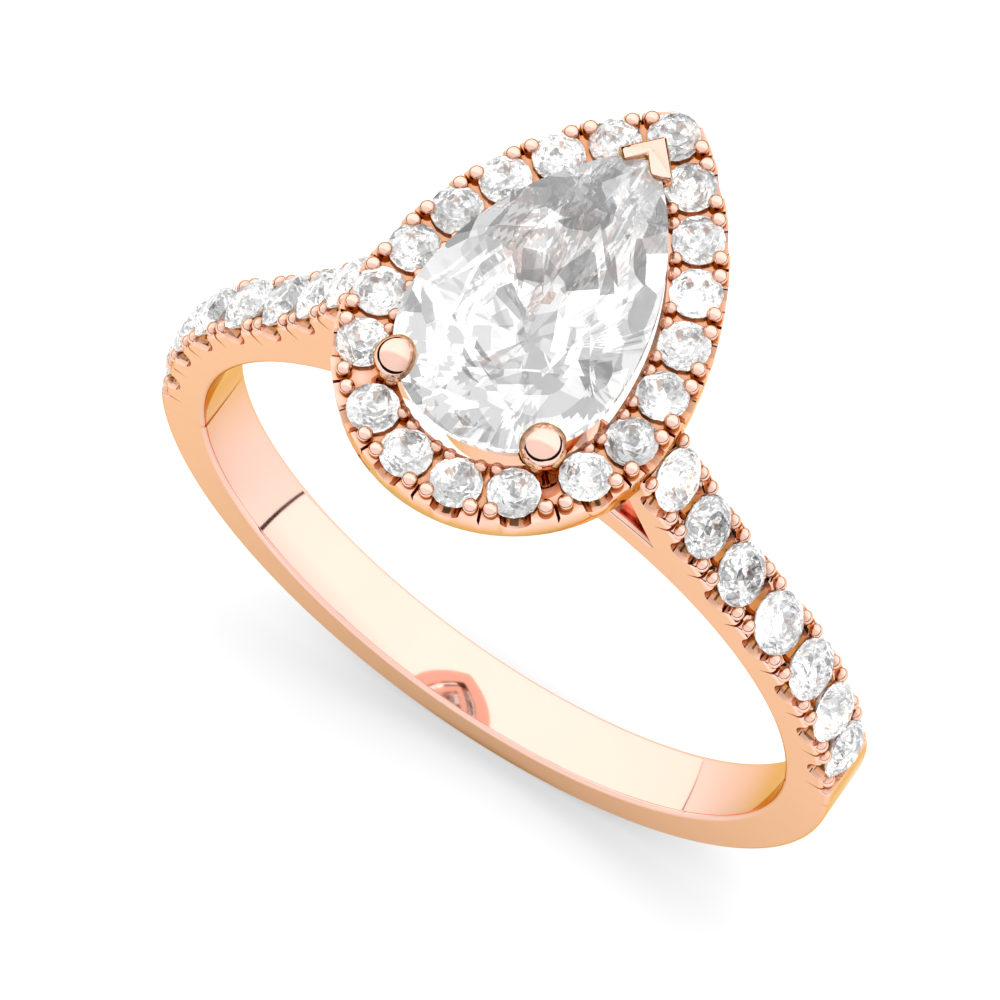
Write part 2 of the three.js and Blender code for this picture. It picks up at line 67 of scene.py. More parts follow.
# Cathedral shoulders; angles at the finger's centre, from the +X side
PARTING = math.radians(-3.967)
RISE = math.radians(39)
SWEEP = 23.91 * MM
WINDOW = math.radians(61)
SHOULDER_ARM = 1.087 * MM
SHOULDER_STONES = 7
SHOULDER_STONE_RADIUS = 0.8 * MM
SHOULDER_PITCH = 1.8 * MM
LAST_STONE_ARC = 1.086 * MM
ROW_END_ARC = 0.1 * MM
ROW_SINK = 0.17 * MM
STONE_SINK = 0.14 * MM
SHOULDER_SCALLOP_RADIUS = 0.43 * MM
SHOULDER_SCALLOP_REACH = 0.7 * MM
SHOULDER_SCALLOP_DROP = 0.02 * MM
SHOULDER_NOTCH_WIDTH = 0.25 * MM
SHOULDER_NOTCH_DEPTH = 0.67 * MM
SHOULDER_NOTCH_REACH = 0.5 * MM
SHOULDER_NOTCH_SHIFT = 0.02 * MM
SHOULDER_CHANNEL = (0.42 * MM, 0.5 * MM, 0.5 * MM)
SHOULDER_LIP = 0.03 * MM
SHOULDER_KNOB_RADIUS = 0.19 * MM
SHOULDER_KNOB_DEPTH = 0.62 * MM
SHOULDER_KNOB_ALONG = 0.265 * MM
SHOULDER_KNOB_ACROSS = 0.675 * MM

# Centre stone's outline: a half circle closed by two side arcs that meet at the tip
PEAR_HALF_WIDTH = 2.82 * MM
PEAR_TIP = 5.95 * MM
SIDE_SHIFT = (PEAR_TIP ** 2 - PEAR_HALF_WIDTH ** 2) / (2 * PEAR_HALF_WIDTH)

# Halo
HALO_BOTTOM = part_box("halo_rim")[0].z
HALO_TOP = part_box("halo_rim")[1].z
HALO_GIRDLE = 11.85 * MM
HALO_TOP_OFFSET = 1.485 * MM
HALO_BOTTOM_OFFSET = 1.405 * MM
HALO_INNER_OFFSET = -0.025 * MM
HALO_ROW_OFFSET = 0.73 * MM
HALO_STONES = 19
HALO_STONE_RADIUS = 0.645 * MM
HALO_FACE_DROP = 0.1 * MM
HALO_SCALLOP_RADIUS = 0.37 * MM
HALO_SCALLOP_REACH = 0.8 * MM
HALO_SCALLOP_DROP = 0.06 * MM
HALO_NOTCH_WIDTH = 0.2 * MM
HALO_NOTCH_DEPTH = 0.42 * MM
HALO_NOTCH_REACH = 0.6 * MM
HALO_LIP = 0.025 * MM
OUTER_KNOB_RADIUS = 0.195 * MM
OUTER_KNOB_DEPTH = 0.5 * MM
OUTER_KNOB_PLACE = Vector((0.235, 0.53, 0.2)) * MM
INNER_KNOB_RADIUS = 0.17 * MM
INNER_KNOB_DEPTH = 0.3 * MM
INNER_KNOB_PLACE = Vector((0.195, -0.52, 0.16)) * MM

# Stone seats: the play round a stone, and the depth of its cone as a share of its radius
SEAT_GAP = 0.015 * MM
PAVILION_SHARE = 0.86

# Claws; a ring is the radius in mm and how far up the post it lies, as a share of its length
CLAW_TURN = math.radians(42)
CLAW_FOOT = Vector((1.545, 0, 9.75)) * MM
CLAW_HEAD = Vector((2.82, 0, 12.7)) * MM
CLAW_FOOT_RADIUS = 0.28
CLAW_POST_RINGS = [(0.31, 0.55), (0.36, 0.76), (0.45, 0.84), (0.53, 0.89), (0.56, 0.92)]
CLAW_DOME_RADIUS = 0.57
CLAW_DOME_START = 0.935
CLAW_DOME_RISE = 0.19
CLAW_DOME_STEPS = 10
CLAW_TOP_RADIUS = 0.02

TIP_CORNER = 6.52 * MM
TIP_ARM = 1.2 * MM
TIP_WIDTH = 0.54 * MM
TIP_HALF = math.radians(41)
TIP_LOW = 12.12 * MM
TIP_EDGE = 12.58 * MM
TIP_RIDGE = 13.02 * MM
TIP_SLOPE_REACH = 0.1 * MM
TIP_LIP = 0.09 * MM
TIP_POST_FOOT = Vector((0, 4.0, 9.75)) * MM
TIP_POST_HEAD = Vector((0, 5.95, 12.3)) * MM
TIP_POST_RADIUS = 0.3 * MM
TIP_POST_LENGTH = 2.9 * MM

# How near two places count as one: doubles, faces at a height and faces on a joint
DOUBLE = 0.0005 * MM
LEVEL_TOLERANCE = 0.001 * MM
JOINT_TOLERANCE = 0.004 * MM
SIDE_TOLERANCE = 0.01 * MM


# ---------------------------------------------------------------- work in edit mode

def deselect():
    bpy.ops.object.select_all(action="DESELECT")


def activate(piece):
    deselect()
    piece.select_set(True)
    bpy.context.view_layer.objects.active = piece


def edit(mode="VERT"):
    bpy.ops.object.mode_set(mode="EDIT")
    bpy.ops.mesh.select_mode(type=mode)


def leave():
    bpy.ops.object.mode_set(mode="OBJECT")


def select_parts(piece, kind, test):
    """Selects the vertices, edges or faces that pass a test, and stays in edit mode."""
    activate(piece)
    edit({"vertices": "VERT", "edges": "EDGE", "polygons": "FACE"}[kind])
    bpy.ops.mesh.select_all(action="DESELECT")
    leave()
    corners = piece.data.vertices
    for part in getattr(piece.data, kind):
        if kind == "vertices":
            part.select = test([part.co])
        else:
            part.select = test([corners[i].co for i in part.vertices])
    bpy.ops.object.mode_set(mode="EDIT")


def apply_modifier(piece, kind, **settings):
    activate(piece)
    bpy.ops.object.modifier_add(type=kind)
    modifier = piece.modifiers[-1]
    for key, value in settings.items():
        setattr(modifier, key, value)
    bpy.ops.object.modifier_apply(modifier=modifier.name)


def carve(piece, cutters):
    """Cuts the joined cutters, which don't touch each other, out of a piece."""
    cutter = join(cutters)
    apply_modifier(piece, "BOOLEAN", operation="DIFFERENCE", solver="EXACT", object=cutter)
    bpy.data.objects.remove(cutter)


def join(pieces):
    deselect()
    for piece in pieces:
        piece.select_set(True)
    bpy.context.view_layer.objects.active = pieces[0]
    if len(pieces) > 1:
        bpy.ops.object.join()
    return pieces[0]


def copy_to(master, places):
    """Copies a finished master to each place, each copy with its own mesh, and removes the master."""
    out = []
    for place in places:
        piece = master.copy()
        piece.data = master.data.copy()
        bpy.context.collection.objects.link(piece)
        piece.data.transform(place)
        out.append(piece)
    bpy.data.objects.remove(master)
    return out


def settle(piece):
    """Puts the object's place, turn and scale into its mesh."""
    activate(piece)
    bpy.ops.object.transform_apply(location=True, rotation=True, scale=True)


def face_out(piece):
    """Merges the doubles and turns every face outwards."""
    activate(piece)
    edit()
    bpy.ops.mesh.select_all(action="SELECT")
    bpy.ops.mesh.remove_doubles(threshold=DOUBLE)
    bpy.ops.mesh.normals_make_consistent(inside=False)
    leave()


def polish(piece, lip=0.02 * MM):
    """Breaks the sharp edges and smooths the rest, with flat faces kept flat."""
    if lip:
        apply_modifier(piece, "BEVEL", width=lip, segments=2, limit_method="ANGLE",
                       angle_limit=math.radians(32), use_clamp_overlap=True)
    activate(piece)
    bpy.ops.object.shade_smooth_by_angle(angle=math.radians(40))
    apply_modifier(piece, "WEIGHTED_NORMAL", keep_sharp=True)


def start_line(name, point):
    """A new mesh of one selected vertex, from which an outline is drawn."""
    deselect()
    bpy.ops.mesh.primitive_plane_add(size=MM)
    piece = bpy.context.object
    piece.name = name
    piece.data.name = name
    edit()
    bpy.ops.mesh.merge(type="CENTER")
    bpy.ops.transform.translate(value=point)
    return piece


def line_by(step):
    bpy.ops.mesh.extrude_region_move(TRANSFORM_OT_translate={"value": step})


def arc_by(turn, centre, axis, steps):
    """Draws on from the last point by an arc; spin itself turns the other way round its axis."""
    bpy.ops.mesh.spin(steps=steps, angle=-turn, center=centre, axis=axis)


def close_outline():
    bpy.ops.mesh.select_all(action="SELECT")
    bpy.ops.mesh.remove_doubles(threshold=LEVEL_TOLERANCE)


# ---------------------------------------------------------------- band

# The axis that outlines in the band's plane turn round, so that they run from +X up to +Z
ACROSS = (0, -1, 0)


def polar(radius, turn, centre=(0, 0)):
    """X and Z of a point at a radius and an angle from the +X side."""
    return centre[0] + radius * math.cos(turn), centre[1] + radius * math.sin(turn)


def to_solid_band(piece, joints):
    """Fills the closed outline, draws it across the band and rounds its long edges."""
    bpy.ops.mesh.edge_face_add()
    bpy.ops.mesh.extrude_region_move(TRANSFORM_OT_translate={"value": (0, 2 * BAND_HALF, 0)})
    leave()
    face_out(piece)

    def on_long_edge(points):
        one_side = all(abs(abs(p.y) - BAND_HALF) < SIDE_TOLERANCE for p in points)
        same = points[0].y * points[1].y > 0
        middle = (points[0] + points[1]) / 2
        return one_side and same and not any(joint(middle) for joint in joints)

    select_parts(piece, "edges", on_long_edge)
    bpy.ops.mesh.bevel(offset=BAND_EDGE, segments=4, profile=0.5, affect="EDGES")
    leave()


def on_ray(turn):
    """Whether a point is on the flat joint face at an angle of the finger hole, on either side."""
    def test(point):
        return abs(abs(point.x) * math.sin(turn) - point.z * math.cos(turn)) < JOINT_TOLERANCE
    return test


def make_shank():
    """The plain lower half: round inside, and an outer arc of its own that thins it at the bottom."""
    rise = (SIDE_RADIUS ** 2 - BOTTOM_RADIUS ** 2) / (2 * BOTTOM_RADIUS)
    outer = BOTTOM_RADIUS + rise
    x, z = polar(FINGER_RADIUS, math.pi - PARTING)
    outer_x = SIDE_RADIUS * math.cos(PARTING)
    outer_z = SIDE_RADIUS * math.sin(PARTING)
    outer_start = math.atan2(outer_z - rise, outer_x)
    piece = start_line("shank", (x, -BAND_HALF, z))
    arc_by(math.pi + 2 * PARTING, (0, 0, 0), ACROSS, 96)
    inner_x, inner_z = polar(FINGER_RADIUS, PARTING)
    line_by((outer_x - inner_x, 0, outer_z - inner_z))
    arc_by(-math.pi - 2 * outer_start, (0, 0, rise), ACROSS, 96)
    line_by((x + outer_x, 0, z - outer_z))
    close_outline()
    to_solid_band(piece, [on_ray(PARTING)])
    polish(piece, 0)
    return piece


def make_bridge():
    """The finger rail under the head, from one shoulder's window edge to the other's."""
    span = math.pi - 2 * WINDOW
    x, z = polar(FINGER_RADIUS, WINDOW)
    outer_x, outer_z = polar(BRIDGE_RADIUS, WINDOW)
    piece = start_line("bridge", (x, -BAND_HALF, z))
    arc_by(span, (0, 0, 0), ACROSS, 40)
    line_by((x - outer_x, 0, outer_z - z))
    arc_by(-span, (0, 0, 0), ACROSS, 40)
    line_by((x - outer_x, 0, z - outer_z))
    close_outline()
    to_solid_band(piece, [on_ray(WINDOW)])
    polish(piece, 0)
    return piece


# ---------------------------------------------------------------- shoulders

def sweep_centre():
    return polar(SIDE_RADIUS + SWEEP, RISE)


def shoulder_place(depth, distance):
    """Frame on the right shoulder: its Z out of the face, its Y across the band."""
    past = distance - RISE * SIDE_RADIUS
    if past <= 0:
        turn = distance / SIDE_RADIUS
        x, z = polar(SIDE_RADIUS - depth, turn)
    else:
        turn = RISE - past / SWEEP
        x, z = polar(-(SWEEP + depth), turn, sweep_centre())
    return Matrix.Translation((x, 0, z)) @ Matrix.Rotation(math.pi / 2 - turn, 4, "Y")


def stone_distance(number):
    """How far along the shoulder's face a stone lies; the last stone is the lowest."""
    return LAST_STONE_ARC + (SHOULDER_STONES - number) * SHOULDER_PITCH


def gap_distance(gap):
    """How far along the shoulder's face the middle between two stones lies, from the lowest up."""
    return LAST_STONE_ARC + (gap - 0.5) * SHOULDER_PITCH


def shoulder_bar():
    """The plain shoulder: hole side, window edge, hollow sweep and the round face above the band."""
    sweep_x, sweep_z = sweep_centre()
    top = HALO_TOP
    top_turn = math.asin((sweep_z - top) / SWEEP)
    face_x = sweep_x - SWEEP * math.cos(top_turn)
    sunk = SWEEP + ROW_SINK
    sunk_turn = math.asin((sweep_z - top) / sunk)
    sunk_x = sweep_x - sunk * math.cos(sunk_turn)
    row_end = ROW_END_ARC / SIDE_RADIUS
    start_x, start_z = polar(FINGER_RADIUS, PARTING)
    hole_x, hole_z = polar(FINGER_RADIUS, WINDOW)
    corner_x, corner_z = polar(BRIDGE_RADIUS, WINDOW)
    window_x = face_x - SHOULDER_ARM
    piece = start_line("shoulder", (start_x, -BAND_HALF, start_z))
    arc_by(WINDOW - PARTING, (0, 0, 0), ACROSS, 48)
    line_by((corner_x - hole_x, 0, corner_z - hole_z))
    line_by((window_x - corner_x, 0, top - corner_z))
    line_by((sunk_x - window_x, 0, 0))
    arc_by(RISE - sunk_turn, (sweep_x, 0, sweep_z), ACROSS, 24)
    arc_by(row_end - RISE, (0, 0, 0), ACROSS, 36)
    line_by((ROW_SINK * math.cos(row_end), 0, ROW_SINK * math.sin(row_end)))
    arc_by(PARTING - row_end, (0, 0, 0), ACROSS, 5)
    edge_x, edge_z = polar(SIDE_RADIUS, PARTING)
    line_by((start_x - edge_x, 0, start_z - edge_z))
    close_outline()

    def joint_line(middle):
        on_bridge = on_ray(WINDOW)(middle) and math.hypot(middle.x, middle.z) < BRIDGE_RADIUS
        return on_bridge or on_ray(PARTING)(middle)

    to_solid_band(piece, [joint_line])
    return piece


def seat_master(radius, reach, sides=48):
    """A stone's seat as a cutter: the pavilion's cone with a straight bore above the girdle."""
    depth = radius * PAVILION_SHARE + 3 * SEAT_GAP
    deselect()
    bpy.ops.mesh.primitive_cone_add(vertices=sides, radius1=0, radius2=radius + SEAT_GAP, depth=depth,
                                    location=(0, 0, -depth / 2 - SEAT_GAP))
    cutter = bpy.context.object
    settle(cutter)
    select_parts(cutter, "polygons", lambda points: all(p.z > -1.1 * SEAT_GAP for p in points))
    bpy.ops.mesh.extrude_region_move(TRANSFORM_OT_translate={"value": (0, 0, reach)})
    leave()
    return cutter


def ball_master(size, segments=32, rings=16):
    """A ball stretched to three radii, for scoops and for beads."""
    deselect()
    bpy.ops.mesh.primitive_uv_sphere_add(segments=segments, ring_count=rings, radius=1)
    ball = bpy.context.object
    ball.scale = size
    settle(ball)
    return ball


def knob_master(radius, depth):
    """A prong: a round stem with a domed head whose top is at z = 0."""
    dome = 0.8 * radius
    piece = ball_master((radius, radius, dome), 20, 12)
    select_parts(piece, "polygons", lambda points: sum(p.z for p in points) < 0)
    bpy.ops.mesh.delete(type="FACE")
    bpy.ops.mesh.select_all(action="DESELECT")
    leave()
    select_parts(piece, "vertices", lambda points: points[0].z < LEVEL_TOLERANCE)
    bpy.ops.mesh.extrude_region_move(TRANSFORM_OT_translate={"value": (0, 0, -depth)})
    bpy.ops.transform.resize(value=(0.8, 0.8, 1))
    bpy.ops.mesh.edge_face_add()
    leave()
    face_out(piece)
    piece.data.transform(Matrix.Translation((0, 0, -dome)))
    activate(piece)
    bpy.ops.object.shade_smooth()
    return piece


def notch_master(width, depth, reach):
    """A V-shaped cutter along Y: a block whose underside is drawn in to an edge at -depth."""
    deselect()
    bpy.ops.mesh.primitive_cube_add(size=1)
    wedge = bpy.context.object
    wedge.scale = (width, reach, 2 * depth)
    settle(wedge)
    select_parts(wedge, "polygons", lambda points: all(p.z < 0 for p in points))
    bpy.ops.transform.resize(value=(0.02, 1, 1))
    leave()
    return wedge


def scallop_master(radius, reach):
    """A round cutter lying along Y, for the U under a stone in the wall beside it."""
    deselect()
    bpy.ops.mesh.primitive_cylinder_add(vertices=40, radius=radius, depth=reach, rotation=(math.pi / 2, 0, 0))
    cutter = bpy.context.object
    settle(cutter)
    return cutter


def both_walls(offset):
    """Shifts to the two side walls, offset from the band's middle plane."""
    return [Matrix.Translation((0, side * offset, 0)) for side in (-1, 1)]


def shoulder_knobs(gaps):
    """Places of the prongs: four in each gap, and two at each end of the row, by the stone only."""
    places = []
    for number, gap in enumerate(gaps):
        for along in (-SHOULDER_KNOB_ALONG, SHOULDER_KNOB_ALONG):
            if (number == 0 and along > 0) or (number == SHOULDER_STONES and along < 0):
                continue
            for across in (-SHOULDER_KNOB_ACROSS, SHOULDER_KNOB_ACROSS):
                places.append(gap @ Matrix.Translation((along, across, 0.0)))
    return places


def make_shoulder(side):
    """A shoulder with its seats, scallops, notches and prongs; side is 1 for right and -1 for left."""
    turn = Matrix.Rotation(0 if side > 0 else math.pi, 4, "Z")
    bar = shoulder_bar()
    stones = [turn @ shoulder_place(STONE_SINK, stone_distance(n + 1)) for n in range(SHOULDER_STONES)]
    gaps = [turn @ shoulder_place(0, gap_distance(g)) for g in range(SHOULDER_STONES + 1)]
    bar.data.transform(turn)
    carve(bar, [halo_body("trim", HALO_TOP + 2 * MM)])
    carve(bar, copy_to(seat_master(SHOULDER_STONE_RADIUS, 3 * MM), stones))
    scallop = scallop_master(SHOULDER_SCALLOP_RADIUS, SHOULDER_SCALLOP_REACH)
    drop = Matrix.Translation((0, 0, -SHOULDER_SCALLOP_DROP))
    carve(bar, copy_to(scallop, [s @ wall @ drop for s in stones for wall in both_walls(BAND_HALF)]))
    notch = notch_master(SHOULDER_NOTCH_WIDTH, SHOULDER_NOTCH_DEPTH, SHOULDER_NOTCH_REACH)
    notch_walls = both_walls(BAND_HALF + SHOULDER_NOTCH_SHIFT)
    carve(bar, copy_to(notch, [g @ wall for g in gaps[:-1] for wall in notch_walls]))
    carve(bar, copy_to(ball_master(SHOULDER_CHANNEL, 28, 14), gaps[1:-1]))
    polish(bar, SHOULDER_LIP)
    knob = knob_master(SHOULDER_KNOB_RADIUS, SHOULDER_KNOB_DEPTH)
    piece = join([bar] + copy_to(knob, shoulder_knobs(gaps)))
    piece.name = "shoulder_right_set" if side > 0 else "shoulder_left_set"
    return piece


# ---------------------------------------------------------------- halo

def pear_loop(offset, height):
    """Draws the pear outline moved out by offset, counter-clockwise from the tip, at a height."""
    blunt = PEAR_HALF_WIDTH + offset
    side = blunt + SIDE_SHIFT
    turn = math.acos(SIDE_SHIFT / side)
    up = (0, 0, 1)
    arc_by(turn, (SIDE_SHIFT, 0, height), up, 40)
    arc_by(math.pi, (0, 0, height), up, 48)
    arc_by(turn, (-SIDE_SHIFT, 0, height), up, 40)
    close_outline()


def pear_tip(offset):
    """Y of the tip of the pear outline moved out by offset."""
    side = PEAR_HALF_WIDTH + offset + SIDE_SHIFT
    return math.sqrt(side ** 2 - SIDE_SHIFT ** 2)


def pear_prism(name, low_offset, low, high_offset, high):
    """A closed pear body between two heights, with its own outline at each."""
    loops = []
    for offset, height in ((low_offset, low), (high_offset, high)):
        loop = start_line(name, (0, pear_tip(offset), height))
        pear_loop(offset, height)
        leave()
        loops.append(loop)
    piece = join(loops)
    activate(piece)
    edit("EDGE")
    bpy.ops.mesh.select_all(action="SELECT")
    bpy.ops.mesh.bridge_edge_loops()
    leave()
    for height in (low, high):
        def at_height(points):
            return all(abs(p.z - height) < LEVEL_TOLERANCE for p in points)
        select_parts(piece, "edges", at_height)
        bpy.ops.mesh.edge_face_add()
        leave()
    face_out(piece)
    return piece


def halo_body(name, top):
    """The rim's outer body up to a height, leaning out towards its top."""
    slope = (HALO_TOP_OFFSET - HALO_BOTTOM_OFFSET) / (HALO_TOP - HALO_BOTTOM)
    top_offset = HALO_BOTTOM_OFFSET + slope * (top - HALO_BOTTOM)
    return pear_prism(name, HALO_BOTTOM_OFFSET, HALO_BOTTOM, top_offset, top)


def halo_stone_centres():
    """Where the halo's stones stand in plan, in order round the pear."""
    out = []
    for number in range(1, HALO_STONES + 1):
        low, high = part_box(f"halo_stone_{number:02d}")
        out.append(Vector(((low.x + high.x) / 2, (low.y + high.y) / 2, 0)))
    return out


def facing(point, outward, height):
    """Frame at a point of the halo: its Y outwards, its Z up."""
    turn = math.atan2(outward.y, outward.x) - math.pi / 2
    return Matrix.Translation((point.x, point.y, height)) @ Matrix.Rotation(turn, 4, "Z")


def halo_places():
    """Frames at the stones and at the gaps between them, facing out of the pear."""
    centres = halo_stone_centres()
    stones, gaps = [], []
    for i, here in enumerate(centres):
        after = centres[(i + 1) % HALO_STONES]
        before = centres[i - 1]
        along = after - before
        stones.append(facing(here, Vector((-along.y, along.x, 0)), HALO_GIRDLE))
        step = after - here
        gaps.append(facing((here + after) / 2, Vector((-step.y, step.x, 0)), HALO_GIRDLE))
    return stones, gaps


def knob_pair(gap, place):
    """The two prongs of a gap, one by each stone."""
    return [gap @ Matrix.Translation((place.x * side, place.y, place.z)) for side in (-1, 1)]


def make_halo():
    """The rim with its seats, scallops, notches and two rows of prongs."""
    rim = halo_body("halo", HALO_GIRDLE - HALO_FACE_DROP)
    inner = pear_prism("inner", HALO_INNER_OFFSET, HALO_BOTTOM - MM, HALO_INNER_OFFSET, HALO_TOP + MM)
    carve(rim, [inner])
    stones, gaps = halo_places()
    carve(rim, copy_to(seat_master(HALO_STONE_RADIUS, MM, 40), stones))
    wall = HALO_TOP_OFFSET - HALO_ROW_OFFSET
    scallop = scallop_master(HALO_SCALLOP_RADIUS, HALO_SCALLOP_REACH)
    under_stone = Matrix.Translation((0, wall, -HALO_SCALLOP_DROP))
    carve(rim, copy_to(scallop, [s @ under_stone for s in stones]))
    notch = notch_master(HALO_NOTCH_WIDTH, HALO_NOTCH_DEPTH, HALO_NOTCH_REACH)
    carve(rim, copy_to(notch, [g @ Matrix.Translation((0, wall, 0)) for g in gaps]))
    polish(rim, HALO_LIP)
    outer_knob = knob_master(OUTER_KNOB_RADIUS, OUTER_KNOB_DEPTH)
    inner_knob = knob_master(INNER_KNOB_RADIUS, INNER_KNOB_DEPTH)
    outer = [place for gap in gaps for place in knob_pair(gap, OUTER_KNOB_PLACE)]
    inside = [place for gap in gaps for place in knob_pair(gap, INNER_KNOB_PLACE)]
    piece = join([rim] + copy_to(outer_knob, outer) + copy_to(inner_knob, inside))
    piece.name = "halo_set"
    return piece


# ---------------------------------------------------------------- claws

def make_claw(side):
    """A tapered round post that swells into an egg-shaped head over the stone's edge."""
    length = (CLAW_HEAD - CLAW_FOOT).length
    deselect()
    bpy.ops.mesh.primitive_circle_add(vertices=48, radius=CLAW_FOOT_RADIUS * MM, fill_type="NGON")
    piece = bpy.context.object
    piece.name = "claw_right_polished" if side > 0 else "claw_left_polished"
    edit("FACE")
    rings = list(CLAW_POST_RINGS)
    for step in range(CLAW_DOME_STEPS):
        dome = step / CLAW_DOME_STEPS * math.pi / 2
        rings.append((CLAW_DOME_RADIUS * math.cos(dome), CLAW_DOME_START + CLAW_DOME_RISE * math.sin(dome)))
    rings.append((CLAW_TOP_RADIUS, CLAW_DOME_START + CLAW_DOME_RISE))
    radius, height = CLAW_FOOT_RADIUS, 0.0
    for new_radius, share in rings:
        new_height = share * length / MM
        scale = new_radius / radius
        step_up = (0, 0, (new_height - height) * MM)
        bpy.ops.mesh.extrude_region_move(TRANSFORM_OT_translate={"value": step_up})
        bpy.ops.transform.resize(value=(scale, scale, 1))
        radius, height = new_radius, new_height
    leave()
    face_out(piece)
    lean = math.atan2(CLAW_HEAD.x - CLAW_FOOT.x, CLAW_HEAD.z - CLAW_FOOT.z)
    turn = -CLAW_TURN if side > 0 else math.pi + CLAW_TURN
    place = Matrix.Rotation(turn, 4, "Z") @ Matrix.Translation(CLAW_FOOT) @ Matrix.Rotation(lean, 4, "Y")
    piece.data.transform(place)
    activate(piece)
    bpy.ops.object.shade_smooth()
    return piece


def make_tip_claw():
    """A V-shaped claw: its top slopes up from the outer edge to a ridge over the stone's crown."""
    along = Vector((math.sin(TIP_HALF), -math.cos(TIP_HALF), 0))
    inward = Vector((-math.cos(TIP_HALF), -math.sin(TIP_HALF), 0))
    corner = Vector((0, TIP_CORNER, TIP_LOW))
    end = corner + along * TIP_ARM
    inner_end = end + inward * TIP_WIDTH
    inner = Vector((0, TIP_CORNER - TIP_WIDTH / math.sin(TIP_HALF), TIP_LOW))
    flip = Vector((-1, 1, 1))
    points = [corner, end, inner_end, inner, inner_end * flip, end * flip]
    piece = start_line("tip_claw_polished", points[0])
    for before, after in zip(points, points[1:] + points[:1]):
        line_by(after - before)
    close_outline()
    bpy.ops.mesh.edge_face_add()
    bpy.ops.mesh.extrude_region_move(TRANSFORM_OT_translate={"value": (0, 0, TIP_RIDGE - TIP_LOW)})
    leave()
    face_out(piece)
    outer_line = corner.y - TIP_SLOPE_REACH

    def outer_top(points):
        p = points[0]
        beyond = abs(p.x) * math.cos(TIP_HALF) + (p.y - outer_line) * math.sin(TIP_HALF)
        return p.z > TIP_EDGE and beyond > -TIP_SLOPE_REACH

    select_parts(piece, "vertices", outer_top)
    bpy.ops.transform.translate(value=(0, 0, TIP_EDGE - TIP_RIDGE))
    leave()
    polish(piece, TIP_LIP)
    return join([piece, tip_post()])


def tip_post():
    """The round post that carries the V, leaning out from the gallery to the tip."""
    deselect()
    bpy.ops.mesh.primitive_cylinder_add(vertices=32, radius=TIP_POST_RADIUS, depth=TIP_POST_LENGTH)
    post = bpy.context.object
    reach = TIP_POST_HEAD - TIP_POST_FOOT
    lean = math.atan2(reach.y, reach.z)
    settle(post)
    middle = (TIP_POST_FOOT + TIP_POST_HEAD) / 2
    post.data.transform(Matrix.Translation(middle) @ Matrix.Rotation(-lean, 4, "X"))
    polish(post, 0)
    return post


# ---------------------------------------------------------------- materials

def linear(hex_colour):
    """A colour socket's value from an sRGB hex value."""
    out = []
    for i in (0, 2, 4):
        part = int(hex_colour[i:i + 2], 16) / 255
        out.append(part / 12.92 if part <= 0.04045 else ((part + 0.055) / 1.055) ** 2.4)
    return (*out, 1)


def add_node(tree, kind, settings=None, inputs=None, links=None):
    """Adds a node with its settings, its input values and its links from other sockets."""
    node = tree.nodes.new(kind)
    for key, value in (settings or {}).items():
        setattr(node, key, value)
    for key, value in (inputs or {}).items():
        node.inputs[key].default_value = value
    for key, source in (links or {}).items():
        tree.links.new(source, node.inputs[key])
    return node


def add_ramp(tree, source, stops):
    """A colour ramp of grey levels over a source's value."""
    ramp = add_node(tree, "ShaderNodeValToRGB", links={"Fac": source})
    elements = ramp.color_ramp.elements
    elements.remove(elements[1])
    for number, (place, level) in enumerate(stops):
        stop = elements[0] if number == 0 else elements.new(place)
        stop.position = place
        stop.color = (level, level, level, 1)
    return ramp


def new_material(name):
    material = bpy.data.materials.new(name)
    material.use_nodes = True
    return material, material.node_tree, material.node_tree.nodes["Principled BSDF"]


# Polished rose gold, and how large the marks are that its polishing leaves
GOLD_COOL = "F2C7B8"
GOLD_WARM = "F6CCBD"
GOLD_GRAZING = "E6C67E"
# Painted shade: the darker amber that the gold's colour turns to in its crevices
GOLD_PAINTED_SHADE = "A8640F"
POLISHING_HAZE = 1.6 * MM
HAZE_ROUGHNESS = (0.035, 0.07)
BUFFING_RIPPLE = 0.25 * MM
RIPPLE_DEPTH = 0.003 * MM
# Painted shade: how far round a point the occlusion test looks for walls that hem it in
PAINTED_SHADE_REACH = 0.6 * MM


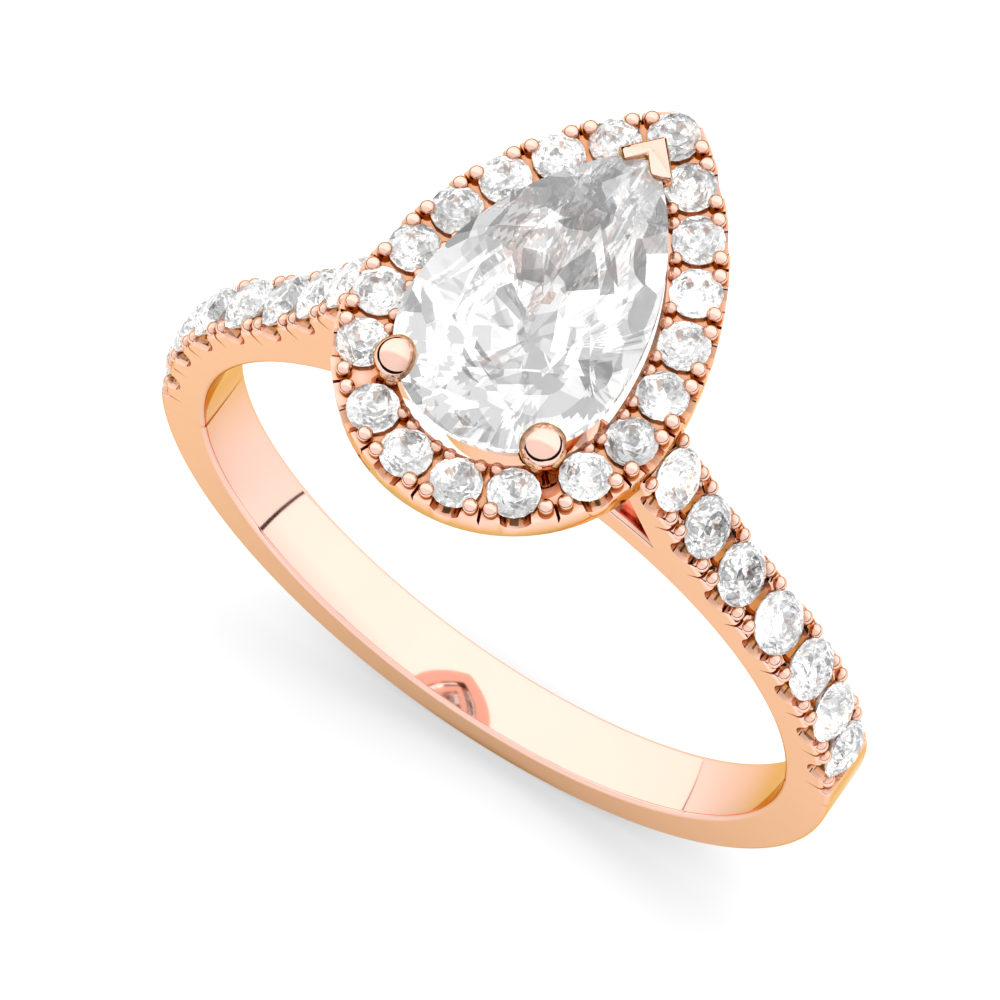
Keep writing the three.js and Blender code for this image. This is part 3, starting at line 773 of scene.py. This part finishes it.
def rose_gold():
    """Cast and hand-polished rose gold. Mirror bright and peach, deeper at a grazing view, with a haze
    left by the polishing mop, and painted shade: a darker amber in the crevices between the prongs."""
    material, tree, shader = new_material("polished_rose_gold")
    shader.inputs["Metallic"].default_value = 1
    coords = add_node(tree, "ShaderNodeTexCoord").outputs["Object"]
    haze = add_node(tree, "ShaderNodeTexNoise", inputs={"Scale": 1 / POLISHING_HAZE, "Detail": 4},
                    links={"Vector": coords})
    colour = add_node(tree, "ShaderNodeMix", {"data_type": "RGBA"}, links={"Factor": haze.outputs["Fac"]})
    colour.inputs["A"].default_value = linear(GOLD_COOL)
    colour.inputs["B"].default_value = linear(GOLD_WARM)
    # Painted shade: where ambient occlusion finds the gold hemmed in, its colour turns to the darker amber
    painted_shade_ao = add_node(tree, "ShaderNodeAmbientOcclusion", {"samples": 6, "only_local": False},
                       {"Distance": PAINTED_SHADE_REACH})
    unshaded_share = add_node(tree, "ShaderNodeMapRange", inputs={"From Min": 0.3, "From Max": 0.97},
                        links={"Value": painted_shade_ao.outputs["AO"]})
    painted_shade_colour = add_node(tree, "ShaderNodeMix", {"data_type": "RGBA"},
                     links={"Factor": unshaded_share.outputs["Result"], "B": colour.outputs["Result"]})
    painted_shade_colour.inputs["A"].default_value = linear(GOLD_PAINTED_SHADE)
    tree.links.new(painted_shade_colour.outputs["Result"], shader.inputs["Base Color"])
    shader.inputs["Specular Tint"].default_value = linear(GOLD_GRAZING)
    gloss = add_node(tree, "ShaderNodeMapRange",
                     inputs={"To Min": HAZE_ROUGHNESS[0], "To Max": HAZE_ROUGHNESS[1]},
                     links={"Value": haze.outputs["Fac"]})
    tree.links.new(gloss.outputs["Result"], shader.inputs["Roughness"])
    ripple = add_node(tree, "ShaderNodeTexNoise", inputs={"Scale": 1 / BUFFING_RIPPLE, "Detail": 3},
                      links={"Vector": coords})
    bump = add_node(tree, "ShaderNodeBump", inputs={"Strength": 0.05, "Distance": RIPPLE_DEPTH},
                    links={"Height": ripple.outputs["Fac"]})
    tree.links.new(bump.outputs["Normal"], shader.inputs["Normal"])
    return material


# Painted flashes in a stone's mirror colour and glow: where each level begins among the patches, and how
# bright
ROUND_FLASHES = ((0, 0.3), (0.15, 0.5), (0.35, 0.7), (0.6, 0.9), (0.8, 1))
PEAR_FLASHES = ((0, 0.28), (0.14, 0.42), (0.36, 0.58), (0.66, 0.78), (0.86, 1))
ROUND_PATCH = 0.2 * MM
PEAR_PATCH = 0.9 * MM
ROUND_GLOW = 0.3
PEAR_GLOW = 0.42

# Diamond bends light by 2.42. Less is used, so that less of the gold round a stone shows in it.
ROUND_BEND = 2.2
PEAR_BEND = 1.75
CLOUD_SIZE = 0.9 * MM


def diamond_crown(name, bend):
    """Brilliant-cut diamond seen through its crown: colourless and clear, bending light strongly."""
    material, tree, shader = new_material(name)
    coords = add_node(tree, "ShaderNodeTexCoord").outputs["Object"]
    tint = add_node(tree, "ShaderNodeTexNoise", inputs={"Scale": 1 / CLOUD_SIZE, "Detail": 2},
                    links={"Vector": coords})
    colour = add_node(tree, "ShaderNodeMix", {"data_type": "RGBA"}, links={"Factor": tint.outputs["Fac"]})
    colour.inputs["A"].default_value = linear("F8F8F8")
    colour.inputs["B"].default_value = linear("FFFFFF")
    tree.links.new(colour.outputs["Result"], shader.inputs["Base Color"])
    shader.inputs["Roughness"].default_value = 0
    shader.inputs["IOR"].default_value = bend
    shader.inputs["Transmission Weight"].default_value = 1
    return material


def diamond_pavilion(name, patch_size, flashes, glow):
    """Underside of a diamond. It throws the light back up as a mirror does, in flashes of unequal strength
    that are painted into the mirror's colour; they are also painted light as a glow, for light through other
    facets."""
    material, tree, shader = new_material(name)
    coords = add_node(tree, "ShaderNodeTexCoord").outputs["Object"]
    patch = add_node(tree, "ShaderNodeTexVoronoi", inputs={"Scale": 1 / patch_size},
                     links={"Vector": coords})
    chance = add_node(tree, "ShaderNodeSeparateColor", links={"Color": patch.outputs["Color"]})
    flash = add_ramp(tree, chance.outputs["Red"], flashes)
    flash.color_ramp.interpolation = "CONSTANT"
    # Painted light: the flash levels become the mirror's colour and, at the glow strength, light given off
    tree.links.new(flash.outputs["Color"], shader.inputs["Base Color"])
    tree.links.new(flash.outputs["Color"], shader.inputs["Emission Color"])
    shader.inputs["Metallic"].default_value = 1
    shader.inputs["Roughness"].default_value = 0
    shader.inputs["Emission Strength"].default_value = glow
    return material


gold = rose_gold()
round_crown = diamond_crown("round_diamond_crown", ROUND_BEND)
pear_crown = diamond_crown("pear_diamond_crown", PEAR_BEND)
round_pavilion = diamond_pavilion("round_diamond_pavilion", ROUND_PATCH, ROUND_FLASHES, ROUND_GLOW)
pear_pavilion = diamond_pavilion("pear_diamond_pavilion", PEAR_PATCH, PEAR_FLASHES, PEAR_GLOW)


def finish_gold(piece, node_name):
    """Gives a gold piece its finish and puts it in the place of its node."""
    piece.data.materials.clear()
    piece.data.materials.append(gold)
    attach(piece, "root")
    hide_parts(node_name)


finish_gold(make_shank(), "shank_lower")
finish_gold(make_bridge(), "bridge_rail")
finish_gold(make_shoulder(1), "shoulder_right")
finish_gold(make_shoulder(-1), "shoulder_left")
finish_gold(make_halo(), "halo_rim")
finish_gold(make_claw(1), "claw_right")
finish_gold(make_claw(-1), "claw_left")
finish_gold(make_tip_claw(), "tip_claw")


# ---------------------------------------------------------------- stones

# A facet that faces down by at least this much belongs to the pavilion
PAVILION_FACING = -0.1


def stone_axis(node_name):
    """Direction out of a stone's table, from where the stone is set."""
    if not node_name.startswith("shoulder"):
        return Vector((0, 0, 1))
    place = shoulder_place(STONE_SINK, stone_distance(int(node_name[-2:])))
    axis = place.to_3x3() @ Vector((0, 0, 1))
    return axis if "right" in node_name else Vector((-axis.x, axis.y, axis.z))


def cut_stone(node_name, crown, pavilion):
    """Takes a stone's facets over from its node and tells its mirror-bright underside from its crown."""
    deselect()
    activate(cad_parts[node_name])
    bpy.ops.object.duplicate()
    piece = bpy.context.object
    piece.parent = None
    piece.name = node_name.replace("stone", "diamond")
    settle(piece)
    face_out(piece)
    activate(piece)
    edit("FACE")
    bpy.ops.mesh.select_all(action="SELECT")
    bpy.ops.mesh.dissolve_limited(angle_limit=math.radians(0.4))
    leave()
    axis = stone_axis(node_name)
    piece.data.materials.clear()
    piece.data.materials.append(crown)
    piece.data.materials.append(pavilion)
    for face in piece.data.polygons:
        face.use_smooth = False
        face.material_index = 1 if face.normal.dot(axis) < PAVILION_FACING else 0
    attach(piece, "root")
    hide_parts(node_name)


for node_name, node_object in list(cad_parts.items()):
    if node_name == "centre_stone":
        cut_stone(node_name, pear_crown, pear_pavilion)
    elif "stone" in node_name:
        cut_stone(node_name, round_crown, round_pavilion)
    else:
        node_object.data.materials.clear()
        node_object.data.materials.append(gold)


# ---------------------------------------------------------------- studio

CAMERA_AZIMUTH = math.radians(-33.37)
CAMERA_ELEVATION = math.radians(65.21)
CAMERA_ROLL = math.radians(0.25)
CAMERA_TARGET = Vector((-1.0436, 1.0401, 0.6663)) * MM
CAMERA_DISTANCE = 300 * MM
VIEW_WIDTH = 24.29 * MM
SENSOR_WIDTH = 36

# Levels of the sky, the overhead light and the paper
SKY = 1.6
FRONT_LEVEL = 0.7
OVERHEAD_LEVEL = 3.0
OVERHEAD_DIRECTION = (0.12, 0.22, 0.97)
OVERHEAD_DISTANCE = 0.5
OVERHEAD_SIZE = 0.25
PAPER = 0.6
PAPER_GLOW = 0.36
PAPER_SIZE = 0.13

# Where the sky is brightest to the side, and where the grey cards hang that the stones look up to
BACK_DIRECTION = (-0.2, 0.98, 0)
CARD_DIRECTION = (0.231, -0.35, 0.908)

# Ramps: a place from 0 to 1 and the level there. The sky is dark below the horizon, which draws the
# thin dark line that a polished band shows
HEIGHT_STOPS = ((0, 0.01), (0.482, 0.01), (0.484, 0.95), (1, 1))
SIDE_STOPS = ((0, FRONT_LEVEL), (0.42, FRONT_LEVEL), (0.55, 1), (1, 1))
CARD_STOPS = ((0, 0.25), (0.42, 0.35), (0.5, 0.95), (1, 1))
CARD_REACH_STOPS = ((0, 0), (0.80, 0), (0.86, 1), (1, 1))


def place_camera():
    level = math.cos(CAMERA_ELEVATION)
    forward = Vector((math.sin(CAMERA_AZIMUTH) * level, math.cos(CAMERA_AZIMUTH) * level,
                      -math.sin(CAMERA_ELEVATION)))
    data = bpy.data.cameras.new("camera")
    camera = bpy.data.objects.new("camera", data)
    bpy.context.collection.objects.link(camera)
    camera.location = CAMERA_TARGET - forward * CAMERA_DISTANCE
    camera.rotation_mode = "QUATERNION"
    camera.rotation_quaternion = forward.to_track_quat("-Z", "Y") @ Quaternion((0, 0, 1), CAMERA_ROLL)
    data.sensor_width = SENSOR_WIDTH
    data.lens = SENSOR_WIDTH * CAMERA_DISTANCE / VIEW_WIDTH
    data.clip_start = 0.01
    data.clip_end = 10
    bpy.context.scene.camera = camera


def lay_floor():
    """White paper under the ring, lit a little from below so that its shadow stays soft."""
    deselect()
    bpy.ops.mesh.primitive_plane_add(size=PAPER_SIZE, location=(0, 0, cad_box[0][2]))
    floor = bpy.context.object
    floor.name = "floor"
    settle(floor)
    material, tree, shader = new_material("white_paper")
    shader.inputs["Base Color"].default_value = (PAPER, PAPER, PAPER, 1)
    shader.inputs["Roughness"].default_value = 0.9
    shader.inputs["Specular IOR Level"].default_value = 0
    shader.inputs["Emission Color"].default_value = (1, 1, 1, 1)
    shader.inputs["Emission Strength"].default_value = PAPER_GLOW
    floor.data.materials.append(material)


def hang_overhead_light():
    """A large soft light over the ring, which the gold and the stones don't mirror."""
    data = bpy.data.lights.new("overhead", "AREA")
    data.shape = "SQUARE"
    data.size = OVERHEAD_SIZE
    data.energy = OVERHEAD_LEVEL * math.pi * OVERHEAD_SIZE * OVERHEAD_SIZE
    light = bpy.data.objects.new("overhead", data)
    bpy.context.collection.objects.link(light)
    direction = Vector(OVERHEAD_DIRECTION).normalized()
    light.location = direction * OVERHEAD_DISTANCE
    light.rotation_mode = "QUATERNION"
    light.rotation_quaternion = (-direction).to_track_quat("-Z", "Y")
    light.visible_glossy = False
    light.visible_transmission = False


def towards(tree, sky, direction):
    """How nearly a ray runs in a direction, from -1 to 1."""
    product = add_node(tree, "ShaderNodeVectorMath", {"operation": "DOT_PRODUCT"}, links={0: sky})
    product.inputs[1].default_value = direction
    return product.outputs["Value"]


def levels_by(tree, source, stops):
    """A ramp over a value that runs from -1 to 1."""
    share = add_node(tree, "ShaderNodeMapRange", inputs={"From Min": -1}, links={"Value": source})
    return add_ramp(tree, share.outputs["Result"], stops).outputs["Color"]


def dimmed(tree, one, other):
    """The product of two levels."""
    product = add_node(tree, "ShaderNodeMix", {"data_type": "RGBA", "blend_type": "MULTIPLY"},
                       {"Factor": 1}, {"A": one, "B": other})
    return product.outputs["Result"]


def white_but(tree, factor, source):
    """White, and the source instead as far as the factor goes."""
    mix = add_node(tree, "ShaderNodeMix", {"data_type": "RGBA"}, links={"Factor": factor, "B": source})
    mix.inputs["A"].default_value = (1, 1, 1, 1)
    return mix.outputs["Result"]


def card_levels(tree, sky, ray):
    """Grey cards overhead that only the stones' insides see; without them the facets would be blank."""
    patches = add_node(tree, "ShaderNodeTexNoise", inputs={"Scale": 9, "Detail": 1.5, "Distortion": 0.6},
                       links={"Vector": sky})
    broken = add_ramp(tree, patches.outputs["Fac"], CARD_STOPS)
    reach = add_ramp(tree, towards(tree, sky, CARD_DIRECTION), CARD_REACH_STOPS)
    inside = add_node(tree, "ShaderNodeMath", {"operation": "MULTIPLY"},
                      links={0: reach.outputs["Color"], 1: ray.outputs["Is Transmission Ray"]})
    return white_but(tree, inside.outputs["Value"], broken.outputs["Color"])


def light_studio():
    """A white dome, dimmer in front, that the camera itself sees as plain white."""
    world = bpy.data.worlds.new("studio")
    bpy.context.scene.world = world
    world.use_nodes = True
    tree = world.node_tree
    background = tree.nodes["Background"]
    sky = add_node(tree, "ShaderNodeTexCoord").outputs["Generated"]
    ray = add_node(tree, "ShaderNodeLightPath")
    axes = add_node(tree, "ShaderNodeSeparateXYZ", links={"Vector": sky})
    dome = levels_by(tree, axes.outputs["Z"], HEIGHT_STOPS)
    front = levels_by(tree, towards(tree, sky, BACK_DIRECTION), SIDE_STOPS)
    lit = dimmed(tree, dimmed(tree, dome, card_levels(tree, sky, ray)), front)
    seen = add_node(tree, "ShaderNodeMix", {"data_type": "RGBA"},
                    links={"Factor": ray.outputs["Is Camera Ray"], "A": lit})
    seen.inputs["B"].default_value = (1, 1, 1, 1)
    tree.links.new(seen.outputs["Result"], background.inputs["Color"])
    background.inputs["Strength"].default_value = SKY


# Bounces enough for light to find its way out of the stones
STONE_BOUNCES = 24
GOLD_BOUNCES = 16

place_camera()
lay_floor()
light_studio()
hang_overhead_light()
bpy.context.scene.view_settings.view_transform = "Standard"
cycles = bpy.context.scene.cycles
cycles.max_bounces = STONE_BOUNCES
cycles.transmission_bounces = STONE_BOUNCES
cycles.glossy_bounces = GOLD_BOUNCES
cycles.caustics_reflective = False
cycles.caustics_refractive = False
